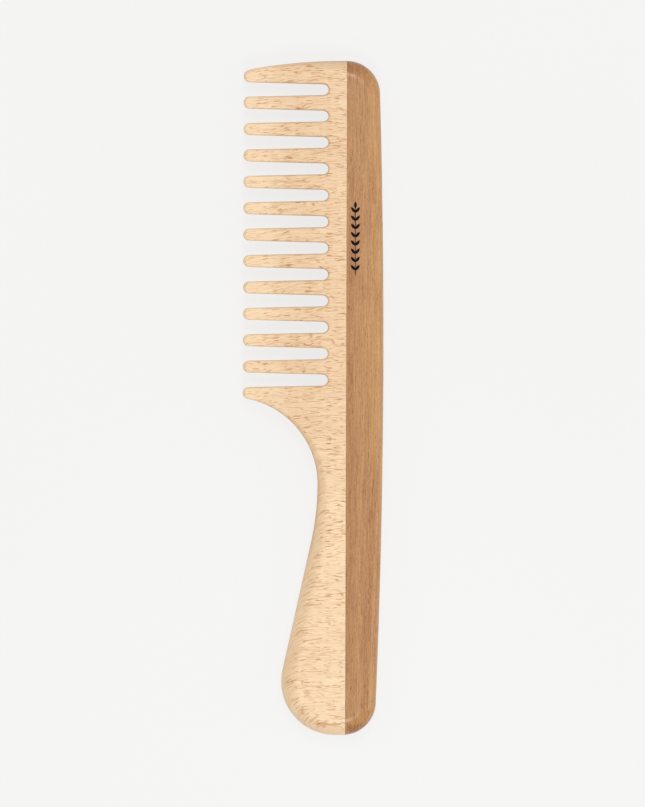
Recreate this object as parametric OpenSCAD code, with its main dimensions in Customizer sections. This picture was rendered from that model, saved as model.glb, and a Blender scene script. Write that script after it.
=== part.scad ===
// Wide tooth comb: a board with teeth, glued along one straight line to a strip of darker wood.
//
// The parts are drawn in the comb's own drawing axes: X is 0 on the glue line and negative towards the teeth,
// Y is 0 at the end of the handle, and Z is 0 in the middle of the thickness. on_its_back() then lays the comb
// down with its origin under its centre. The outline is made of arcs that touch, so it has no kinks.

/* [Whole comb] */
// Length from the end of the handle to the top of the first tooth
comb_l = 190; // [182:1:230]
// Thickness of the spine, the web and the handle
comb_t = 10; // [9.5:0.1:12]
// Thickness at the tips of the teeth
tip_t = 5.6; // [4:0.1:9]

/* [Teeth] */
// Number of teeth
tooth_n = 13; // [8:1:14]
// Distance from one tooth to the next
pitch = 7.44; // [6.8:0.01:7.8]
// Distance from the glue line to the tips of the teeth
reach = 29.15; // [26:0.05:30]
// Width of the web between the glue line and the gaps
web_w = 5.2; // [4:0.1:8]
// Radius of the closed end of each gap
gap_r = 1.58; // [1.4:0.02:1.7]
// Angle by which each side of a gap opens towards the tips
gap_flare = 1.28; // [1:0.02:2]
// Distance from the top of the comb to the middle of the first tooth
first_tooth = 4.42; // [4.26:0.02:5]
// Radius of the top edge of the first tooth
top_r = 150; // [148:1:300]
// Radius of the corner where that edge turns towards the tip
nose_r = 6; // [4:0.5:9]

/* [Handle] */
// Width of the board at the neck, from the glue line
neck_w = 8; // [7:0.1:10]
// Radius of the hollow between the last tooth and the neck
throat_r = 24.5; // [22:0.5:26]
// Radius of the long curve from the neck into the handle
neck_r = 74; // [40:1:80]
// Radius of the round end of the handle
bulb_r = 15.1; // [12:0.1:15.4]
// Distance from the glue line to the middle of the round end
bulb_x = 2.99; // [2.5:0.01:4]

/* [Spine] */
// Greatest width of the spine
spine_w = 10.46; // [9:0.02:11]
// Radius of the bowed back
bow_r = 2450; // [1500:50:6000]
// Height of the fullest point of the back above the end of the handle
bow_y = 105; // [85:1:115]
// Radius of both outer corners
corner_r = 9.4; // [8.6:0.1:10]

/* [Rounded edges] */
// Rounding along the sides of the teeth
tooth_edge = 0.6; // [0.3:0.05:0.8]
// Rounding at the tips of the teeth
tip_edge = 0.9; // [0.5:0.05:1]
// Rounding at the neck
neck_edge = 3; // [1.5:0.1:4]
// Rounding round the end of the handle
handle_edge = 4.8; // [2:0.1:4.9]
// Rounding along the back
back_edge = 3.1; // [2:0.1:4]
// Rounding at the top, where the glue line ends
top_edge = 4.4; // [2:0.1:4.8]

/* [Glued joint] */
// How far the tongue goes into the spine
tongue_d = 4; // [2:0.1:5]
// Thickness of the tongue
tongue_t = 3.2; // [2:0.1:4]
// Distance from each end of the comb to the tongue
tongue_stop = 8; // [7:0.5:20]
// Thickness of the film of glue
glue_t = 0.1; // [0.05:0.01:0.2]

/* [Printed sprig] */
// Length of the sprig
sprig_l = 20.6; // [16:0.1:30]
// Number of pairs of leaves
sprig_pairs = 8; // [3:1:10]
// Length of one leaf
leaf_l = 2; // [1:0.1:2.2]
// Width of one leaf
leaf_w = 0.8; // [0.4:0.05:1]
// Thickness of the ink
ink_t = 0.03; // [0.02:0.01:0.1]

/* [Hidden] */

beech = [0.94, 0.82, 0.67];
brown_wood = [0.74, 0.55, 0.39];
amber = [0.80, 0.64, 0.38];
black_ink = [0.10, 0.09, 0.09];

// Segments in each curve
edge_steps = 5;
gap_steps = 6;
tip_steps = 6;
top_steps = 6;
nose_steps = 3;
throat_steps = 11;
neck_steps = 3;
bulb_steps = 9;
bow_steps = 8;
corner_steps = 8;

half_t = comb_t / 2;
seam_x = glue_t / 2;

// Gaps and teeth
gap_x = -(web_w + gap_r);
gap_half_at_tips = gap_r / cos(gap_flare) + (reach + gap_x) * tan(gap_flare);
tip_r = (pitch / 2 - gap_half_at_tips) * cos(gap_flare) / (1 - sin(gap_flare));
tip_x = tip_r - reach;
last_tooth = tooth_n - 1;
last_gap = last_tooth - 1;

function tooth_y(k) = comb_l - first_tooth - k * pitch;
function gap_y(k) = tooth_y(k) - pitch / 2;

// The board gets thinner from the closed ends of the gaps to the tips of the teeth
taper_x = gap_x + (gap_r + tooth_edge) * sin(gap_flare);
taper_slope = (comb_t - tip_t) / 2 / (taper_x + reach);

// Back and outer corners of the spine
bow_centre = [spine_w - bow_r, bow_y];

function corner_centre(y) = [bow_centre.x + sqrt((bow_r - corner_r) ^ 2 - (y - bow_y) ^ 2), y];

top_corner = corner_centre(comb_l - corner_r);
bottom_corner = corner_centre(corner_r);

// Top edge and nose of the first tooth
top_centre = [top_corner.x, comb_l - top_r];
first_tip = [tip_x, tooth_y(0)];
nose_centre = meeting_point(first_tip, nose_r - tip_r, top_centre, top_r - nose_r);
nose_start = bearing(top_centre, nose_centre);
nose_end = bearing(nose_centre, first_tip);

// Throat, neck and round end of the handle
last_tip = [tip_x, tooth_y(last_tooth)];
throat_x = -(neck_w + throat_r);
neck_y = last_tip.y - sqrt((throat_r + tip_r) ^ 2 - (tip_x - throat_x) ^ 2);
throat_centre = [throat_x, neck_y];
throat_start = bearing(throat_centre, last_tip);
neck_centre = [-(neck_w + neck_r), neck_y];
bulb_centre = [-bulb_x, bulb_r];
neck_end = bearing(neck_centre, bulb_centre) + acos((neck_r + bulb_r) / norm(bulb_centre - neck_centre));

// The tongue starts this far inside the board, so that the two are one piece
tongue_root = 1;

// Printed sprig, between the glue line and the rounded back
sprig_x = 2.45;
sprig_y = 0.737 * comb_l;
stem_w = 0.22;
leaf_angle = 38;

// ---- Geometry helpers ----

// Direction from one point to another
function bearing(from, to) = atan2(to.y - from.y, to.x - from.x);

// The point at distance ra from a and rb from b, to the left of the way from a to b
function meeting_point(a, ra, b, rb) =
    let (
        gap = norm(b - a),
        way = bearing(a, b) + acos((gap ^ 2 + ra ^ 2 - rb ^ 2) / (2 * gap * ra))
    )
    a + ra * [cos(way), sin(way)];

function mix(a, b, s) = a + (b - a) * s;

// From the first to the last of three values, pulled towards the middle one on the way
function pulled(values, s) = mix(mix(values[0], values[1], s), mix(values[1], values[2], s), s);

function reversed(list) = [for (i = [len(list) - 1 : -1 : 0]) list[i]];

function without_first(list) = [for (i = [1 : len(list) - 1]) list[i]];

// Triangles that fill a face from its first corner
function fan(face) = [for (i = [1 : len(face) - 2]) [face[0], face[i], face[i + 1]]];

// ---- Runs of an outline ----
// Each point is [x, y, direction the edge faces there, size of its rounding].

// A curve that bulges out of the wood
function arc(centre, r, from, to, steps, edges) =
    [for (i = [0 : steps])
        let (a = mix(from, to, i / steps))
        [centre.x + r * cos(a), centre.y + r * sin(a), a, pulled(edges, i / steps)]];

// A curve that bites into the wood
function hollow(centre, r, from, to, steps, edges) =
    [for (p = arc(centre, r, from, to, steps, edges)) [p.x, p.y, p[2] + 180, p[3]]];

// The point where an outline meets the glue, on one of the outer corners' circles
function seam_point(corner, x, side, edge) =
    [x, corner.y + side * sqrt(corner_r ^ 2 - (x - corner.x) ^ 2), side * 90, edge];

function gap_run(k) =
    hollow(
        [gap_x, gap_y(k)], gap_r, 90 - gap_flare, gap_flare - 90, gap_steps,
        [tooth_edge, tooth_edge, tooth_edge]);

// The rounding grows towards the middle of a tip
tip_edges = [tooth_edge, 2 * tip_edge - tooth_edge, tooth_edge];

function tip_run(k) =
    arc([tip_x, tooth_y(k)], tip_r, 90 + gap_flare, 270 - gap_flare, tip_steps, tip_edges);

// ---- Outline of the board, from the top of the glue line round to its bottom ----

first_tooth_run = concat(
    [seam_point(top_corner, -seam_x, 1, top_edge)],
    arc(top_centre, top_r, 90, nose_start, top_steps, [top_edge, tip_edge, tip_edge]),
    without_first(arc(nose_centre, nose_r, nose_start, nose_end, nose_steps, [tip_edge, tip_edge, tip_edge])),
    without_first(
        arc(first_tip, tip_r, nose_end, 270 - gap_flare, tip_steps, [tip_edge, tip_edge, tooth_edge]))
);

last_tip_run =
    arc(last_tip, tip_r, 90 + gap_flare, throat_start + 180, tip_steps, [tooth_edge, tip_edge, tip_edge]);

throat_run = without_first(
    hollow(throat_centre, throat_r, throat_start, 0, throat_steps, [tip_edge, tip_edge, neck_edge])
);

handle_run = concat(
    without_first(
        hollow(neck_centre, neck_r, 0, neck_end, neck_steps, [neck_edge, neck_edge, handle_edge])),
    arc(bulb_centre, bulb_r, neck_end + 180, 270, bulb_steps, [handle_edge, handle_edge, handle_edge]),
    [[bottom_corner.x, 0, 270, handle_edge]],
    [seam_point(bottom_corner, -seam_x, -1, handle_edge)]
);

board_outline = concat(
    first_tooth_run,
    [for (k = [0 : last_gap]) each concat(gap_run(k), k < last_gap ? tip_run(k + 1) : last_tip_run)],
    throat_run,
    handle_run
);

// ---- Outline of the spine, from the bottom of the glue line round to its top ----

back_start = bearing(bow_centre, bottom_corner);
back_end = bearing(bow_centre, top_corner);
bottom_corner_start = 270 + asin((seam_x - bottom_corner.x) / corner_r);
top_corner_end = 90 - asin((seam_x - top_corner.x) / corner_r);
// The rounding is drawn towards this size on its way round the top corner
corner_pull = 5;

spine_outline = concat(
    [seam_point(bottom_corner, seam_x, -1, handle_edge)],
    without_first(arc(
        bottom_corner, corner_r, bottom_corner_start, 360 + back_start, corner_steps,
        [handle_edge, handle_edge, back_edge])),
    without_first(arc(
        bow_centre, bow_r, back_start, back_end, bow_steps,
        [back_edge, back_edge, back_edge])),
    without_first(reversed(without_first(arc(
        top_corner, corner_r, top_corner_end, back_end, corner_steps,
        [top_edge, corner_pull, back_edge])))),
    [seam_point(top_corner, seam_x, 1, top_edge)]
);

// ---- From an outline to a solid with rounded edges ----

// Half of the thickness at a place: full in the spine, web and handle, less along the teeth
function half_thickness(x, y) = half_t - (y < neck_y ? 0 : max(0, taper_x - x) * taper_slope);

// The rounded edge at one point of an outline, from the front face round to the back face
ring_size = 2 * (edge_steps + 1);

function ring_point(p, a, side) =
    let (
        inset = p[3] * (1 - cos(a)),
        x = p.x - inset * cos(p[2]),
        y = p.y - inset * sin(p[2])
    )
    [x, y, side * (half_thickness(x, y) - p[3] * (1 - sin(a)))];

function ring(p) = concat(
    [for (i = [edge_steps : -1 : 0]) ring_point(p, 90 * i / edge_steps, 1)],
    [for (i = [0 : edge_steps]) ring_point(p, 90 * i / edge_steps, -1)]
);

// A flat piece whose outline starts and ends on the glue line. cells are the parts of its flat faces, each
// seen whole from its first corner. A corner is the number of a point of the outline, or past those, the
// number of one of the places line_y along the glue line.
module rounded_plate(outline, x_on_line, line_y, cells) {
    n = len(outline);
    line_n = len(line_y);
    line_start = n * ring_size;
    last_ring = (n - 1) * ring_size;

    function corner(c, back) =
        c < n
            ? c * ring_size + (back ? ring_size - 1 : 0)
            : line_start + c - n + (back ? line_n : 0);

    edge_faces = [
        for (i = [0 : n - 2], j = [0 : ring_size - 2])
            let (a = i * ring_size + j, b = a + ring_size)
            each [[a, b, b + 1], [a, b + 1, a + 1]]
    ];
    front_faces = [for (cell = cells) each [for (t = fan(cell)) reversed([for (c = t) corner(c, false)])]];
    back_faces = [for (cell = cells) each [for (t = fan(cell)) [for (c = t) corner(c, true)]]];
    glued_face = concat(
        [for (j = [edge_steps : ring_size - 1]) j],
        [for (k = [0 : 1 : line_n - 1]) line_start + line_n + k],
        [for (j = [ring_size - 1 : -1 : 0]) last_ring + j],
        [for (k = [line_n - 1 : -1 : 0]) line_start + k],
        [for (j = [0 : 1 : edge_steps - 1]) j]
    );
    polyhedron(
        concat(
            [for (p = outline) each ring(p)],
            [for (y = line_y) [x_on_line, y, half_t]],
            [for (y = line_y) [x_on_line, y, -half_t]]
        ),
        concat(edge_faces, front_faces, back_faces, fan(glued_face))
    );
}

// The tongue, or the groove round it
module tongue_block(from_x, room) {
    translate([from_x, tongue_stop - room, -tongue_t / 2 - room])
        cube([tongue_d + room - from_x, comb_l - 2 * (tongue_stop - room), tongue_t + 2 * room]);
}

// ---- Cells of the board's flat faces ----

point_n = len(board_outline);
tooth_points = gap_steps + 1 + tip_steps + 1;

function gap_start(k) = len(first_tooth_run) + k * tooth_points;
function gap_end(k) = gap_start(k) + gap_steps;
function line_point(k) = point_n + k;

// The glue line has a place level with each gap, and one in the handle that sees all of the handle
handle_view = 0.7;
line_y = concat([for (k = [0 : last_gap]) gap_y(k)], [handle_view * neck_y]);
handle_point = line_point(last_tooth);
neck_point = gap_end(last_gap) + len(last_tip_run) + len(throat_run);

board_cells = concat(
    [concat([gap_start(0)], [for (i = [0 : gap_start(0) - 1]) i])],
    [[gap_start(0), line_point(0), 0]],
    [for (k = [0 : last_gap]) concat([line_point(k)], [for (i = [gap_start(k) : gap_end(k)]) i])],
    [for (k = [1 : last_gap]) [line_point(k - 1), gap_end(k - 1), gap_start(k), line_point(k)]],
    [for (k = [1 : last_gap]) [for (i = [gap_end(k - 1) : gap_start(k)]) i]],
    [[for (i = [gap_end(last_gap) : neck_point]) i]],
    [concat(
        [handle_point, line_point(last_gap), gap_end(last_gap)],
        [for (i = [neck_point : point_n - 1]) i])]
);

// ---- The parts ----

module on_its_back() {
    translate([(reach - spine_w) / 2, -comb_l / 2, half_t]) children();
}

// Board with the teeth, half of the handle and the tongue
module tooth_plate() {
    color(beech) on_its_back() union() {
        rounded_plate(board_outline, -seam_x, line_y, board_cells);
        tongue_block(-tongue_root, 0);
    }
}

// Strip along the back, with the groove
module spine() {
    color(brown_wood) on_its_back() difference() {
        rounded_plate(spine_outline, seam_x, [], [[for (i = [0 : len(spine_outline) - 1]) i]]);
        tongue_block(-tongue_root, glue_t);
    }
}

// Glue between the two, and round the tongue
module glue_film() {
    line_end = [for (p = ring(spine_outline[len(spine_outline) - 1])) [p.y, p.z]];
    line_start = [for (p = ring(spine_outline[0])) [p.y, p.z]];
    color(amber) on_its_back() difference() {
        union() {
            translate([-seam_x, 0, 0])
                rotate([90, 0, 90])
                    linear_extrude(glue_t)
                        polygon(concat(line_end, reversed(line_start)));
            tongue_block(0, glue_t);
        }
        tongue_block(-tongue_root, 0);
    }
}

// One edge of a leaf is an arc of this circle
module leaf_circle(side) {
    leaf_r = (leaf_l ^ 2 + leaf_w ^ 2) / (4 * leaf_w);
    translate([leaf_l / 2, side * (leaf_r - leaf_w / 2), 0])
        cylinder(h = ink_t, r = leaf_r, $fn = 64);
}

// One leaf, from its base at the origin along X
module leaf() {
    intersection() {
        leaf_circle(-1);
        leaf_circle(1);
    }
}

// Sprig printed on the front of the spine
module printed_mark() {
    stem_l = sprig_l - leaf_l / 2;
    step = (stem_l - leaf_l / 2) / sprig_pairs;
    color(black_ink) on_its_back() translate([sprig_x, sprig_y - sprig_l / 2, half_t]) {
        translate([-stem_w / 2, 0, 0])
            cube([stem_w, stem_l, ink_t]);
        translate([0, sprig_l - leaf_l, 0])
            rotate([0, 0, 90])
                leaf();
        for (i = [1 : sprig_pairs], side = [-1, 1])
            translate([0, (i - 0.5) * step, 0])
                rotate([0, 0, 90 + side * leaf_angle])
                    leaf();
    }
}

tooth_plate();
spine();
glue_film();
printed_mark();
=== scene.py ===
"""The looks of the wide tooth comb: two woods glued along a line, with a small printed sprig.

Lengths are in millimetres in the comb's own drawing axes until a mesh is made: x is 0 on the glue line and
negative towards the teeth, y is 0 at the end of the handle, and z is 0 in the middle of the thickness. The
materials, the lights and the camera use the frame's axes, with the origin under the middle of the comb.
"""

import math

import bpy
import numpy as np
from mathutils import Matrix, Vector
from mathutils.geometry import delaunay_2d_cdt


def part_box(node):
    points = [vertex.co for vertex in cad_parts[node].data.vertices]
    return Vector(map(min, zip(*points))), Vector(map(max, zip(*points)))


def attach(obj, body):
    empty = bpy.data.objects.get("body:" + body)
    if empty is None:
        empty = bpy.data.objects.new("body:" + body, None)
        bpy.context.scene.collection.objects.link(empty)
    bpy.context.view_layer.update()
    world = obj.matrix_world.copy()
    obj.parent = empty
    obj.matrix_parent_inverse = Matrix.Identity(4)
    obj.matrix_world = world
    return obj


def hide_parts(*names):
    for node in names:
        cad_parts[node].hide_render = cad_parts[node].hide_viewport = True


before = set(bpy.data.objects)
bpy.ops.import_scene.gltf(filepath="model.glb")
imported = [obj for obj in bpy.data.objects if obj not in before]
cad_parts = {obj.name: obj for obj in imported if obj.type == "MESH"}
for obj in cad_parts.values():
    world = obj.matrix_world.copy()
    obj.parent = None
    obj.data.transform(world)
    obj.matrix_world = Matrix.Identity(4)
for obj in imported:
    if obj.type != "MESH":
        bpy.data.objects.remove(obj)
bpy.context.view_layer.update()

MM = 0.001


# ---- Sizes ----


def cad_size(node):
    """The lowest and highest corner of a CAD node, in millimetres, in the frame's axes."""
    low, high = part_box(node)
    return Vector(low) / MM, Vector(high) / MM


plate_low, plate_high = cad_size("tooth_plate")
spine_low, spine_high = cad_size("spine")

# Half of the glue's thickness
SEAM = 0.05
GLUE_X = spine_low.x - SEAM
COMB_L = plate_high.y - plate_low.y
COMB_T = spine_high.z - spine_low.z
REACH = GLUE_X - plate_low.x
BOTTOM_Y = plate_low.y
HALF_T = COMB_T / 2

# Teeth
TOOTH_N = 13
PITCH = 7.44
WEB_W = 5.2
GAP_R = 1.58
FLARE = math.radians(1.28)
FIRST_TOOTH = 4.42
TOP_R = 150.0
NOSE_R = 6.0
TIP_T = 5.6

# Handle
NECK_W = 8.0
THROAT_R = 24.5
NECK_R = 74.0
BULB_R = 15.1
BULB_X = 2.99

# Spine
SPINE_W = 10.46
BOW_R = 2450.0
BOW_Y = 105.0
CORNER_R = 9.4

# Rounded edges
TOOTH_EDGE = 0.6
TIP_EDGE = 0.9
NECK_EDGE = 3.0
HANDLE_EDGE = 4.8
BACK_EDGE = 3.1
TOP_EDGE = 4.4
CORNER_PULL = 5.0

# Glued joint
TONGUE_D = 4.0
TONGUE_T = 3.2
TONGUE_STOP = 8.0
GLUE_T = 2 * SEAM

# Fineness of the meshes
EDGE_STEPS = 7
CURVE_STEP = 0.34
LONG_STEP = 1.6
CAP_STEP = 1.5
CAP_MARGIN = 0.55


# ---- Geometry helpers ----


def point(centre, r, angle):
    return Vector((centre[0] + r * math.cos(angle), centre[1] + r * math.sin(angle)))


def bearing(start, end):
    return math.atan2(end[1] - start[1], end[0] - start[0])


def mix(a, b, s):
    return a + (b - a) * s


def ease(s):
    s = min(max(s, 0.0), 1.0)
    return s * s * (3 - 2 * s)


def pulled(values, s):
    """From the first to the last of three values, pulled towards the middle one on the way."""
    return mix(mix(values[0], values[1], s), mix(values[1], values[2], s), s)


def meeting_point(a, ra, b, rb):
    """The point at distance ra from a and rb from b, to the left of the way from a to b."""
    gap = math.dist(a, b)
    way = bearing(a, b) + math.acos((gap**2 + ra**2 - rb**2) / (2 * gap * ra))
    return point(a, ra, way)


# ---- Outlines: runs of (x, y, direction the edge faces, size of its rounding) ----


def arc(centre, r, start, end, edges, step=CURVE_STEP, bites=False):
    """A curve that bulges out of the wood, or bites into it."""
    steps = max(2, round(abs(end - start) * r / step))
    run = []
    for i in range(steps + 1):
        s = i / steps
        angle = mix(start, end, s)
        x, y = point(centre, r, angle)
        run.append((x, y, angle + math.pi * bites, pulled(edges, s)))
    return run


def straight(first, last, step=LONG_STEP):
    """The points between the ends of two runs, which face the same way."""
    steps = max(1, round(math.dist(first[:2], last[:2]) / step))
    return [tuple(mix(a, b, i / steps) for a, b in zip(first, last)) for i in range(1, steps)]


def seam_point(corner, x, side, edge):
    """The point where an outline meets the glue, on one of the outer corners' circles."""
    y = corner[1] + side * math.sqrt(CORNER_R**2 - (x - corner[0]) ** 2)
    return (x, y, side * math.pi / 2, edge)


def clear_of_seam(p):
    """True if the spine's rounding at this point keeps off the glue line all the way in."""
    x, _, facing, edge = p
    return x - edge * math.cos(facing) > 3 * SEAM


def same(edge):
    return (edge, edge, edge)


def tooth_y(k):
    return COMB_L - FIRST_TOOTH - k * PITCH


QUARTER = math.pi / 2
GAP_X = -(WEB_W + GAP_R)
LAST = TOOTH_N - 1
GAP_HALF_AT_TIPS = GAP_R / math.cos(FLARE) + (REACH + GAP_X) * math.tan(FLARE)
TIP_R = (PITCH / 2 - GAP_HALF_AT_TIPS) * math.cos(FLARE) / (1 - math.sin(FLARE))
TIP_X = TIP_R - REACH

BOW_CENTRE = (SPINE_W - BOW_R, BOW_Y)


def corner_centre(y):
    return (BOW_CENTRE[0] + math.sqrt((BOW_R - CORNER_R) ** 2 - (y - BOW_Y) ** 2), y)


TOP_CORNER = corner_centre(COMB_L - CORNER_R)
BOTTOM_CORNER = corner_centre(CORNER_R)

THROAT_X = -(NECK_W + THROAT_R)
LAST_TIP = (TIP_X, tooth_y(LAST))
NECK_Y = LAST_TIP[1] - math.sqrt((THROAT_R + TIP_R) ** 2 - (TIP_X - THROAT_X) ** 2)


def gap_run(k):
    centre = (GAP_X, tooth_y(k) - PITCH / 2)
    return arc(centre, GAP_R, QUARTER - FLARE, FLARE - QUARTER, same(TOOTH_EDGE), bites=True)


def tip_run(k):
    edges = (TOOTH_EDGE, 2 * TIP_EDGE - TOOTH_EDGE, TOOTH_EDGE)
    return arc((TIP_X, tooth_y(k)), TIP_R, QUARTER + FLARE, 3 * QUARTER - FLARE, edges)


def first_tooth_run():
    top_centre = (TOP_CORNER[0], COMB_L - TOP_R)
    tip = (TIP_X, tooth_y(0))
    nose_centre = meeting_point(tip, NOSE_R - TIP_R, top_centre, TOP_R - NOSE_R)
    nose_start = bearing(top_centre, nose_centre)
    nose_end = bearing(nose_centre, tip)
    run = [seam_point(TOP_CORNER, -SEAM, 1, TOP_EDGE)]
    run += arc(top_centre, TOP_R, QUARTER, nose_start, (TOP_EDGE, TIP_EDGE, TIP_EDGE), LONG_STEP / 2)
    run += arc(nose_centre, NOSE_R, nose_start, nose_end, same(TIP_EDGE))[1:]
    run += arc(tip, TIP_R, nose_end, 3 * QUARTER - FLARE, (TIP_EDGE, TIP_EDGE, TOOTH_EDGE))[1:]
    return run


def handle_run():
    """From the last tooth's tip through the throat and neck, round the handle to the glue line."""
    throat_centre = (THROAT_X, NECK_Y)
    neck_centre = (-(NECK_W + NECK_R), NECK_Y)
    bulb_centre = (-BULB_X, BULB_R)
    throat_start = bearing(throat_centre, LAST_TIP)
    reach = (NECK_R + BULB_R) / math.dist(neck_centre, bulb_centre)
    neck_end = bearing(neck_centre, bulb_centre) + math.acos(reach)
    throat_edges = (TIP_EDGE, TIP_EDGE, NECK_EDGE)
    neck_edges = (NECK_EDGE, NECK_EDGE, HANDLE_EDGE)
    half_turn = 2 * QUARTER
    run = arc(LAST_TIP, TIP_R, QUARTER + FLARE, throat_start + half_turn, (TOOTH_EDGE, TIP_EDGE, TIP_EDGE))
    run += arc(throat_centre, THROAT_R, throat_start, 0, throat_edges, LONG_STEP / 2, bites=True)[1:]
    run += arc(neck_centre, NECK_R, 0, neck_end, neck_edges, LONG_STEP, bites=True)[1:]
    bulb = arc(bulb_centre, BULB_R, neck_end + half_turn, 3 * QUARTER, same(HANDLE_EDGE), LONG_STEP / 2)
    run += straight(run[-1], bulb[0]) + bulb
    run += [(BOTTOM_CORNER[0], 0.0, -QUARTER, HANDLE_EDGE)]
    run += [seam_point(BOTTOM_CORNER, -SEAM, -1, HANDLE_EDGE)]
    return run


def joined(runs):
    """The runs end to end, with points added along the straight stretches between them."""
    outline = list(runs[0])
    for run in runs[1:]:
        outline += straight(outline[-1], run[0]) + run
    return outline


def plate_outline():
    """The board's outline, from the top of the glue line round the teeth and handle to its bottom."""
    runs = [first_tooth_run()]
    for k in range(LAST):
        runs.append(gap_run(k))
        runs.append(tip_run(k + 1) if k + 1 < LAST else handle_run())
    return joined(runs)


def spine_outline():
    """The spine's outline, from the bottom of the glue line round the back to its top."""
    back_start = bearing(BOW_CENTRE, BOTTOM_CORNER)
    back_end = bearing(BOW_CENTRE, TOP_CORNER)
    first = math.asin((SEAM - BOTTOM_CORNER[0]) / CORNER_R) - QUARTER
    last = QUARTER - math.asin((SEAM - TOP_CORNER[0]) / CORNER_R)
    run = arc(BOTTOM_CORNER, CORNER_R, first, back_start, (HANDLE_EDGE, HANDLE_EDGE, BACK_EDGE))
    run += arc(BOW_CENTRE, BOW_R, back_start, back_end, same(BACK_EDGE), LONG_STEP)[1:]
    run += arc(TOP_CORNER, CORNER_R, back_end, last, (BACK_EDGE, CORNER_PULL, TOP_EDGE))[1:]
    run = [p for p in run if clear_of_seam(p)]
    bottom = seam_point(BOTTOM_CORNER, SEAM, -1, HANDLE_EDGE)
    top = seam_point(TOP_CORNER, SEAM, 1, TOP_EDGE)
    return [bottom, *run, top]


# ---- Thickness ----

TAPER_X = GAP_X + (GAP_R + TOOTH_EDGE) * math.sin(FLARE)
TAPER_SLOPE = (COMB_T - TIP_T) / 2 / (TAPER_X + REACH)
TAPER_BLEND = 2.5
NECK_BLEND = 10.0


def half_thickness(x, y):
    """Full in the spine, web and handle, and less along the teeth, with no crease where that starts."""
    along = TAPER_X - x
    if along < -TAPER_BLEND:
        return HALF_T
    if along < TAPER_BLEND:
        along = (along + TAPER_BLEND) ** 2 / (4 * TAPER_BLEND)
    weight = ease((y - NECK_Y + NECK_BLEND) / (2 * NECK_BLEND))
    return HALF_T - along * TAPER_SLOPE * weight


def face_normal(x, y):
    """The way the front face looks at a place."""
    d = 0.05
    slope_x = (half_thickness(x + d, y) - half_thickness(x - d, y)) / (2 * d)
    slope_y = (half_thickness(x, y + d) - half_thickness(x, y - d)) / (2 * d)
    return Vector((-slope_x, -slope_y, 1)).normalized()


# ---- From an outline to a mesh ----


def ring(p):
    """The rounded edge at one point of an outline, front to back, as (place, normal) pairs."""
    x0, y0, facing, edge = p
    out = Vector((math.cos(facing), math.sin(facing), 0))
    places = []
    for side in (1, -1):
        steps = range(EDGE_STEPS, -1, -1) if side > 0 else range(EDGE_STEPS + 1)
        for i in steps:
            a = QUARTER * i / EDGE_STEPS
            inset = edge * (1 - math.cos(a))
            x, y = x0 - inset * out.x, y0 - inset * out.y
            z = side * (half_thickness(x, y) - edge * (1 - math.sin(a)))
            up = face_normal(x, y)
            up.z *= side
            places.append((Vector((x, y, z)), (out * math.cos(a) + up * math.sin(a)).normalized()))
    return places


def inside_points(border):
    """A grid of points inside a closed border, clear of it."""
    b = np.array(border)
    nxt = np.roll(b, -1, axis=0)
    xs = np.arange(b[:, 0].min(), b[:, 0].max(), CAP_STEP)
    ys = np.arange(b[:, 1].min(), b[:, 1].max(), CAP_STEP)
    grid = np.array([(x, y) for x in xs for y in ys])
    px, py = grid[:, :1], grid[:, 1:]
    crosses = (b[:, 1] > py) != (nxt[:, 1] > py)
    rise = np.where(nxt[:, 1] == b[:, 1], 1e-12, nxt[:, 1] - b[:, 1])
    x_cross = b[:, 0] + (py - b[:, 1]) / rise * (nxt[:, 0] - b[:, 0])
    inside = (crosses & (px < x_cross)).sum(axis=1) % 2 == 1
    way = nxt - b
    length2 = np.maximum((way**2).sum(axis=1), 1e-12)
    t = np.clip(((px - b[:, 0]) * way[:, 0] + (py - b[:, 1]) * way[:, 1]) / length2, 0, 1)
    gap = np.hypot(px - b[:, 0] - t * way[:, 0], py - b[:, 1] - t * way[:, 1]).min(axis=1)
    return grid[inside & (gap > CAP_MARGIN)]


def cap_triangles(border):
    """Triangles that fill a border, as numbers of its points and of the extra points inside it."""
    extra = inside_points(border)
    points = [Vector(p) for p in border] + [Vector(p) for p in extra]
    n = len(border)
    edges = [(i, (i + 1) % n) for i in range(n)]
    found = delaunay_2d_cdt(points, edges, [], 1, 1e-7)
    source = [origins[0] for origins in found[3]]
    return [[source[i] for i in face] for face in found[2]], [tuple(p) for p in extra]


def newell(corners):
    """The way a face looks when its corners are taken in this order."""
    total = Vector((0, 0, 0))
    for a, b in zip(corners, corners[1:] + corners[:1]):
        total += a.cross(b)
    return total


class Shell:
    """A closed mesh in the making. Each face is turned to look the way its normals do."""

    def __init__(self):
        self.places = []
        self.normals = []
        self.faces = []
        self.corner_normals = []

    def add_points(self, pairs):
        first = len(self.places)
        for place, normal in pairs:
            self.places.append(place)
            self.normals.append(normal)
        return first

    def add_face(self, corners, look=None):
        way = look or sum((self.normals[c] for c in corners), Vector((0, 0, 0)))
        if newell([self.places[c] for c in corners]).dot(way) < 0:
            corners = corners[::-1]
        self.faces.append(corners)
        self.corner_normals += [tuple(look or self.normals[c]) for c in corners]

    def piece(self, name):
        mesh = bpy.data.meshes.new(name)
        offset = Vector((GLUE_X, BOTTOM_Y, HALF_T))
        mesh.from_pydata([(p + offset) * MM for p in self.places], [], self.faces)
        mesh.polygons.foreach_set("use_smooth", [True] * len(mesh.polygons))
        mesh.normals_split_custom_set(self.corner_normals)
        piece = bpy.data.objects.new(name, mesh)
        bpy.context.collection.objects.link(piece)
        return piece


def add_rounded_edge(shell, rings):
    size = len(rings[0])
    shell.add_points(pair for one in rings for pair in one)
    for i in range(len(rings) - 1):
        for j in range(size - 1):
            a = i * size + j
            shell.add_face([a, a + 1, a + size + 1, a + size])


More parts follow.
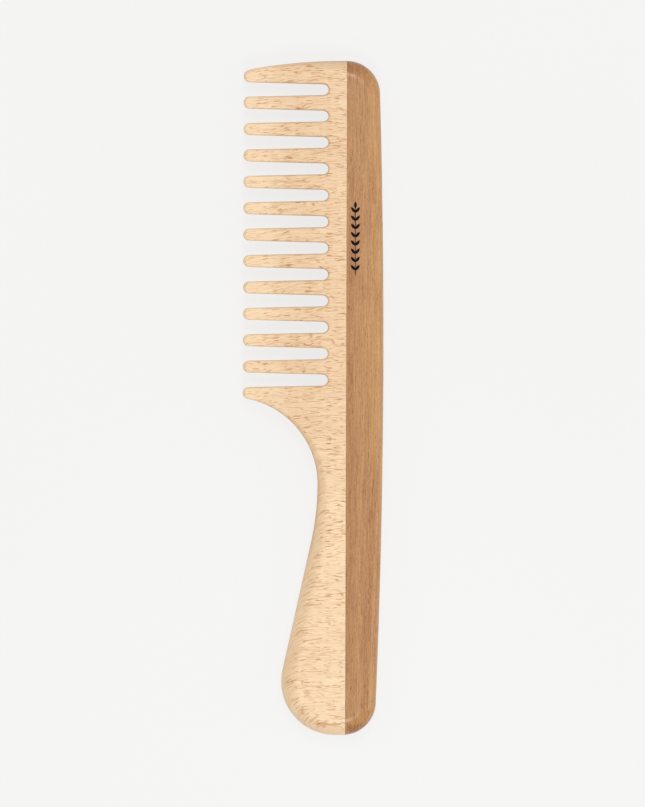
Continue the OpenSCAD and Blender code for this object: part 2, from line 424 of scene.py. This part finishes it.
def add_flat_faces(shell, rings):
    size = len(rings[0])
    border = [tuple(one[0][0].xy) for one in rings]
    triangles, extra = cap_triangles(border)
    for side, on_ring in ((1, 0), (-1, size - 1)):
        pairs = []
        for x, y in extra:
            up = face_normal(x, y)
            up.z *= side
            pairs.append((Vector((x, y, side * half_thickness(x, y))), up))
        first = shell.add_points(pairs)
        for triangle in triangles:
            corners = [c * size + on_ring if c < len(border) else first + c - len(border) for c in triangle]
            shell.add_face(corners)


def add_glued_face(shell, rings, look_x, depth, room):
    """The face on the glue line, with the tongue or the groove, which both go towards +x.

    Corners f to f + 3 of the tongue or groove are on the glue line, and f + 4 to f + 7 are at its full depth.
    """
    size = len(rings[0])
    last = (len(rings) - 1) * size
    outer = EDGE_STEPS
    x_seam = rings[0][0][0].x
    y_ends = [COMB_L - TONGUE_STOP + room, TONGUE_STOP - room]
    if rings[0][0][0].y < rings[-1][0][0].y:
        y_ends.reverse()
    z = TONGUE_T / 2 + room
    corners = [Vector((x, y, side * z)) for x in (x_seam, depth) for y in y_ends for side in (1, -1)]
    f = shell.add_points((corner, Vector((0, 0, 0))) for corner in corners)
    look = Vector((look_x, 0, 0))
    front = list(range(outer, -1, -1)) + list(range(last, last + outer + 1))
    back = list(range(last + outer + 1, last + size)) + list(range(size - 1, outer, -1))
    shell.add_face(front + [f + 2, f], look)
    shell.add_face(back + [f + 1, f + 3], look)
    shell.add_face([f, f + 1, outer + 1, outer], look)
    shell.add_face([last + outer, last + outer + 1, f + 3, f + 2], look)
    y_way = math.copysign(1, y_ends[0] - y_ends[1])
    shell.add_face([f, f + 2, f + 6, f + 4], Vector((0, 0, look_x)))
    shell.add_face([f + 1, f + 5, f + 7, f + 3], Vector((0, 0, -look_x)))
    shell.add_face([f, f + 4, f + 5, f + 1], Vector((0, look_x * y_way, 0)))
    shell.add_face([f + 2, f + 3, f + 7, f + 6], Vector((0, -look_x * y_way, 0)))
    shell.add_face([f + 4, f + 6, f + 7, f + 5], look)


def rounded_plate(name, outline, look_x, depth, room):
    """A flat piece with rounded edges, whose outline starts and ends on the glue line."""
    shell = Shell()
    rings = [ring(p) for p in outline]
    add_rounded_edge(shell, rings)
    add_flat_faces(shell, rings)
    add_glued_face(shell, rings, look_x, depth, room)
    return shell.piece(name)


# ---- Material nodes ----


def linear(red, green, blue):
    """A colour given as it looks on a screen, from 0 to 255, in the renderer's own numbers."""
    parts = []
    for value in (red, green, blue):
        c = value / 255
        parts.append(c / 12.92 if c <= 0.04045 else ((c + 0.055) / 1.055) ** 2.4)
    return (*parts, 1.0)


class Nodes:
    """The nodes of one material. An input that is a socket is linked, and any other is set."""

    def __init__(self, name):
        self.material = bpy.data.materials.new(name)
        self.material.use_nodes = True
        self.tree = self.material.node_tree
        self.tree.nodes.clear()

    def add(self, kind, inputs, **settings):
        node = self.tree.nodes.new(kind)
        for key, value in settings.items():
            setattr(node, key, value)
        for key, value in inputs.items():
            socket = node.inputs[key]
            if isinstance(value, bpy.types.NodeSocket):
                self.tree.links.new(value, socket)
            else:
                socket.default_value = value
        return node

    def math(self, operation, a, b=0.0, c=0.0):
        return self.add("ShaderNodeMath", {0: a, 1: b, 2: c}, operation=operation).outputs[0]

    def place(self):
        """The place on the object, in millimetres, in the frame's axes."""
        coordinates = self.add("ShaderNodeTexCoord", {}).outputs["Object"]
        return self.scaled(coordinates, (MM, MM, MM))

    def parts(self, vector):
        return self.add("ShaderNodeSeparateXYZ", {0: vector}).outputs

    def facing(self, axis):
        """How squarely the surface looks along an axis, either way, from 0 to 1."""
        normal = self.add("ShaderNodeTexCoord", {}).outputs["Normal"]
        return self.math("ABSOLUTE", self.parts(normal)[axis])

    def scaled(self, vector, size):
        """The vector measured in units of the given size along each axis."""
        return self.add("ShaderNodeVectorMath", {0: vector, 1: size}, operation="DIVIDE").outputs[0]

    def shifted(self, vector, amount):
        return self.add("ShaderNodeVectorMath", {0: vector, 1: amount}, operation="ADD").outputs[0]

    def turned(self, vector, axis, angle):
        inputs = {"Vector": vector, "Angle": angle}
        return self.add("ShaderNodeVectorRotate", inputs, rotation_type=f"{axis}_AXIS").outputs[0]

    def noise(self, vector, size, detail=2.0, roughness=0.5):
        inputs = {"Vector": self.scaled(vector, size), "Scale": 1.0, "Detail": detail, "Roughness": roughness}
        return self.add("ShaderNodeTexNoise", inputs).outputs["Fac"]

    def wander(self, vector, size, amount):
        """The vector moved about by a soft noise, by up to about the given amount along each axis."""
        inputs = {"Vector": self.scaled(vector, size), "Scale": 1.0, "Detail": 1.0}
        colour = self.add("ShaderNodeTexNoise", inputs).outputs["Color"]
        centred = self.shifted(colour, (-0.5, -0.5, -0.5))
        reach = tuple(4 * a for a in amount)
        moved = self.add("ShaderNodeVectorMath", {0: centred, 1: reach}, operation="MULTIPLY").outputs[0]
        return self.shifted(vector, moved)

    def rise(self, value, low, high, to_low=0.0, to_high=1.0):
        """A smooth step from to_low to to_high as the value goes from low to high."""
        inputs = {"Value": value, "From Min": low, "From Max": high, "To Min": to_low, "To Max": to_high}
        return self.add("ShaderNodeMapRange", inputs, interpolation_type="SMOOTHSTEP").outputs[0]

    def dashes(self, vector, size, share, core):
        """Spindle marks in a share of the cells of the given size, each with its own length and strength."""
        inputs = {"Vector": self.scaled(vector, size), "Scale": 1.0, "Randomness": 1.0}
        cells = self.add("ShaderNodeTexVoronoi", inputs, voronoi_dimensions="2D").outputs
        chance, strength, _ = self.parts(cells["Color"])
        radius = self.rise(chance, 1.0 - share, 1.0, 0.01, core)
        near = self.rise(self.math("DIVIDE", cells["Distance"], radius), 0.5, 1.0, 1.0, 0.0)
        return self.math("MULTIPLY", near, self.rise(strength, -0.6, 1.0))

    def total(self, *terms):
        """The sum of (value, weight) pairs."""
        result = 0.0
        for value, weight in terms:
            result = self.math("MULTIPLY_ADD", value, weight, result)
        return result

    def mix(self, amount, a, b):
        """The colour a where the amount is 0, and b where it is 1."""
        node = self.tree.nodes.new("ShaderNodeMix")
        node.data_type = "RGBA"
        named = {socket.name: socket for socket in node.inputs if socket.enabled}
        for key, value in (("Factor", amount), ("A", a), ("B", b)):
            if isinstance(value, bpy.types.NodeSocket):
                self.tree.links.new(value, named[key])
            else:
                named[key].default_value = value
        return next(socket for socket in node.outputs if socket.enabled)

    def bump(self, height, depth_mm):
        inputs = {"Height": height, "Strength": 1.0, "Distance": depth_mm * MM}
        return self.add("ShaderNodeBump", inputs).outputs[0]

    def finish(self, shader):
        self.add("ShaderNodeOutputMaterial", {"Surface": shader.outputs[0]})
        return self.material


# ---- Materials ----


RAY_TILT = math.radians(45)
YEAR = 2.6
# The teeth are paler at their tips and the wood is darker at their roots, and this fades out down the handle
TINT_X = (GLUE_X - 28.1, GLUE_X - 14.1)
TINT_Y = (-45.0, 15.0)
# Above the handle the edges and the walls between the teeth are darkened with painted shade
SHADED_EDGE_Y = (BOTTOM_Y + 40, BOTTOM_Y + 60)


def beech():
    """Pale steamed beech with its grain along x: thin wavy lines and the short brown ends of rays.

    The rays lean from the faces, so a rounded edge cuts them into lines that bend towards the handle's end.
    They are fainter there than on the flat. Above the handle the edges and the walls between the teeth carry
    painted shade, darker than the faces.
    """
    n = Nodes("beech")
    place = n.place()
    x, y, _ = n.parts(place)
    bent = n.wander(place, (11, 6, 9), (0, 0.45, 0.35))
    wavy = n.wander(bent, (1.9, 1.1, 2.5), (0, 0.10, 0.10))
    rays = n.turned(wavy, "X", RAY_TILT)
    on_the_flat = n.rise(n.facing(2), 0.5, 0.98, 0.25, 1.0)

    years = n.math("DIVIDE", n.parts(n.wander(rays, (40, 10, 5), (0, 0, 0.8)))[2], YEAR)
    year = n.math("FRACT", years)
    late_wood = n.math("MULTIPLY", n.rise(year, 0.2, 0.9), n.rise(year, 0.9, 1.0, 1.0, 0.0))

    streaks = n.noise(rays, (2.8, 0.27, 9.0), 0.0)
    off_line = n.math("ABSOLUTE", n.math("SUBTRACT", n.noise(rays, (5.5, 0.40, 9.0), 0.0), 0.5))
    lines = n.math("MULTIPLY", n.rise(off_line, 0.0, 0.06, 1.0, 0.0), on_the_flat)

    fleck_strength = n.math("MULTIPLY", n.rise(late_wood, 0.0, 1.0, 0.55, 1.0), on_the_flat)
    flecks = n.math("MULTIPLY", n.dashes(rays, (2.2, 0.20, 1.0), 0.26, 0.52), fleck_strength)
    other_rays = n.shifted(rays, (7.3, 5.1, 0.0))
    bold_flecks = n.math("MULTIPLY", n.dashes(other_rays, (3.0, 0.24, 1.0), 0.16, 0.52), on_the_flat)

    end_grain = n.rise(n.facing(0), 0.02, 0.45)
    tint = n.math("MULTIPLY", n.rise(x, *TINT_X, -0.7, 1.0), n.rise(y, *TINT_Y))
    # Painted shade: darkest on the walls, fading out where the edges turn onto the faces, and only above the
    # handle
    edge_shade = n.math("MULTIPLY", n.rise(n.facing(2), 0.1, 0.8, 1.0, 0.0), n.rise(y, *SHADED_EDGE_Y))

    dark = n.total(
        (n.rise(streaks, 0.34, 0.68), 0.12),
        (lines, 0.46),
        (late_wood, 0.02),
        (tint, 0.12),
        (flecks, 0.62),
        (bold_flecks, 0.75),
        (end_grain, 0.09),
        (edge_shade, 0.36),
    )
    patches = n.rise(n.noise(place, (22, 13, 8)), 0.3, 0.7)
    pale = n.mix(patches, linear(245, 215, 176), linear(247, 218, 180))
    colour = n.mix(dark, pale, linear(182, 117, 50))

    height = n.total((streaks, -0.5), (flecks, -0.4), (bold_flecks, -0.5))
    shader = n.add("ShaderNodeBsdfPrincipled", {
        "Base Color": colour,
        "Roughness": n.total((streaks, 0.15), (end_grain, 0.15), (1.0, 0.32)),
        "Normal": n.bump(height, 0.012),
        "Specular IOR Level": 0.45,
    })
    return n.finish(shader)


# The dark streak runs through this place, leans this much towards the back on its way up, and fades here
STREAK_X = GLUE_X + 6.3
STREAK_Y = -60.0
STREAK_LEAN = 0.035
FADE_Y = (-50.0, 0.0)


def brown_wood():
    """Reddish-brown hardwood with its grain along y: fine fibres, short dark pores and one darker streak."""
    n = Nodes("brown_wood")
    place = n.place()
    x, y, _ = n.parts(place)
    bent = n.wander(place, (9, 46, 9), (0.6, 0, 0.6))
    wavy = n.wander(bent, (1.4, 7, 2.5), (0.08, 0, 0.08))

    bands = n.noise(wavy, (1.3, 60, 3.0), 2.0, 0.55)
    fibres = n.noise(wavy, (0.27, 11.0, 1.0), 2.0, 0.6)
    fine = n.noise(wavy, (0.19, 0.9, 0.5), 1.0, 0.6)
    clouds = n.noise(place, (6, 14, 6))
    pores = n.dashes(wavy, (0.38, 2.6, 1.0), 0.5, 0.48)

    upright = n.math("MULTIPLY_ADD", y, -STREAK_LEAN, n.parts(bent)[0])
    off_streak = n.math("ABSOLUTE", n.math("SUBTRACT", upright, STREAK_X - STREAK_LEAN * STREAK_Y))
    low_down = n.rise(y, *FADE_Y, 1.0, 0.0)
    streak = n.math("MULTIPLY", n.rise(off_streak, 0.3, 1.8, 1.0, 0.0), low_down)
    # Painted light and shade: darker by the glue line and paler towards the outer edge, as if lit from that
    # side; low down the spine is evenly a little darker instead
    shade_near_glue = n.rise(x, GLUE_X, GLUE_X + SPINE_W, 1.0, 0.0)
    painted_side_shade = n.math("MAXIMUM", shade_near_glue, n.math("MULTIPLY", low_down, 0.5))
    end_grain = n.rise(n.facing(1), 0.38, 0.66)

    dark = n.total(
        (n.rise(fibres, 0.30, 0.70), 0.30),
        (n.rise(bands, 0.32, 0.68), 0.12),
        (n.rise(clouds, 0.30, 0.70), 0.08),
        (n.rise(fine, 0.30, 0.70), 0.22),
        (painted_side_shade, 0.17),
        (streak, 0.10),
        (pores, 0.24),
        (end_grain, 0.16),
    )
    colour = n.mix(dark, linear(211, 159, 97), linear(129, 64, 4))

    height = n.total((fibres, -0.5), (fine, -0.3), (pores, -0.6))
    shader = n.add("ShaderNodeBsdfPrincipled", {
        "Base Color": colour,
        "Roughness": n.total((fibres, 0.22), (fine, 0.10), (1.0, 0.17)),
        "Normal": n.bump(height, 0.014),
        "Specular IOR Level": 0.7,
    })
    return n.finish(shader)


def wood_glue():
    """Cured glue in the joint: a brown hair line, a little uneven."""
    n = Nodes("wood_glue")
    place = n.place()
    uneven = n.noise(place, (0.6, 2.4, 0.6), 3.0)
    colour = n.mix(n.rise(uneven, 0.35, 0.65), linear(150, 104, 62), linear(186, 140, 94))
    shader = n.add("ShaderNodeBsdfPrincipled", {
        "Base Color": colour,
        "Roughness": n.rise(uneven, 0.3, 0.7, 0.35, 0.5),
        "Normal": n.bump(uneven, 0.01),
    })
    return n.finish(shader)


def black_ink():
    """Matt printed ink that has sunk a little unevenly into the wood."""
    n = Nodes("black_ink")
    place = n.place()
    speckle = n.noise(place, (0.12, 0.5, 0.3), 3.0, 0.6)
    colour = n.mix(n.rise(speckle, 0.55, 0.75), linear(12, 6, 3), linear(54, 36, 24))
    shader = n.add("ShaderNodeBsdfPrincipled", {
        "Base Color": colour,
        "Roughness": n.rise(speckle, 0.3, 0.7, 0.6, 0.75),
        "Normal": n.bump(speckle, 0.006),
        "Specular IOR Level": 0.1,
    })
    return n.finish(shader)


# The share of the floor's light that comes from within, and its strength
FLOOR_GLOW = 0.88
GLOW_STRENGTH = 0.93


def pale_floor():
    """A white floor, partly lit from within, so that the narrow gaps between the teeth stay bright."""
    n = Nodes("pale_floor")
    place = n.place()
    soft = n.noise(place, (260, 260, 260), 1.0)
    colour = n.mix(soft, linear(249, 249, 248), linear(253, 253, 252))
    matt = n.add("ShaderNodeBsdfDiffuse", {"Color": colour, "Roughness": 0.5})
    glow = n.add("ShaderNodeEmission", {"Color": colour, "Strength": GLOW_STRENGTH})
    shader = n.add("ShaderNodeMixShader", {0: FLOOR_GLOW, 1: matt.outputs[0], 2: glow.outputs[0]})
    return n.finish(shader)


# ---- The comb ----

plate = rounded_plate("toothed_board", plate_outline(), 1, TONGUE_D, 0.0)
plate.data.materials.append(beech())
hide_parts("tooth_plate")
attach(plate, "root")

back = rounded_plate("back_strip", spine_outline(), -1, TONGUE_D + GLUE_T, GLUE_T)
back.data.materials.append(brown_wood())
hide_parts("spine")
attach(back, "root")

for node, material in (("glue_film", wood_glue()), ("printed_mark", black_ink())):
    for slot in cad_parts[node].material_slots:
        slot.material = material


# ---- Floor, light and camera ----

# In metres. The floor lies a hair lower than the comb, so that the two don't share a plane.
FLOOR_HALF = 3.0
FLOOR_DROP = 0.0002

WORLD_LIGHT = 0.64


def make_floor():
    h = FLOOR_HALF
    mesh = bpy.data.meshes.new("floor")
    corners = [(-h, -h, -FLOOR_DROP), (h, -h, -FLOOR_DROP), (h, h, -FLOOR_DROP), (-h, h, -FLOOR_DROP)]
    mesh.from_pydata(corners, [], [(0, 1, 2, 3)])
    floor = bpy.data.objects.new("floor", mesh)
    floor.data.materials.append(pale_floor())
    bpy.context.collection.objects.link(floor)


def area_light(name, place, size, power):
    """A soft box at a place in metres, with its width and height in metres, that looks at the comb."""
    light = bpy.data.lights.new(name, "AREA")
    light.shape = "RECTANGLE"
    light.size, light.size_y = size
    light.energy = power
    lamp = bpy.data.objects.new(name, light)
    lamp.location = place
    lamp.rotation_mode = "QUATERNION"
    lamp.rotation_quaternion = (-Vector(place)).to_track_quat("-Z", "Y")
    bpy.context.collection.objects.link(lamp)


def make_studio():
    """Even light from all round, a small soft box over each end for the gloss, and one beside the spine."""
    world = bpy.data.worlds.new("studio")
    world.use_nodes = True
    background = world.node_tree.nodes["Background"]
    background.inputs["Color"].default_value = (1.0, 1.0, 1.0, 1.0)
    background.inputs["Strength"].default_value = WORLD_LIGHT
    bpy.context.scene.world = world
    area_light("upper_strip", (0.05, 0.40, 1.05), (0.24, 0.28), 2.4)
    area_light("lower_strip", (0.05, -0.45, 1.05), (0.24, 0.28), 2.6)
    area_light("side_box", (1.0, -0.1, 0.5), (0.5, 0.8), 1.8)


# The picture is VIEW_H high in the plane at VIEW_Z, round the place VIEW_X, VIEW_Y
VIEW_H = 227.4
VIEW_X = 2.67
VIEW_Y = -1.59
VIEW_Z = 7.0
# With a lens over about 1350 the comb is past the far limit of a camera that frames it from another side
LENS = 1000.0
SENSOR = 36.0
ROLL = math.radians(0.17)
# In metres, past the floor
FAR_CLIP = 10.0


def make_camera():
    """Straight above the comb, from far enough away for its own height to show little perspective."""
    data = bpy.data.cameras.new("camera")
    data.lens = LENS
    data.sensor_width = SENSOR
    camera = bpy.data.objects.new("camera", data)
    height = VIEW_Z + VIEW_H * LENS / SENSOR
    camera.location = (VIEW_X * MM, VIEW_Y * MM, height * MM)
    camera.rotation_euler = (0, 0, ROLL)
    data.clip_end = FAR_CLIP
    bpy.context.collection.objects.link(camera)
    bpy.context.scene.camera = camera


make_floor()
make_studio()
make_camera()
bpy.context.scene.view_settings.view_transform = "Standard"
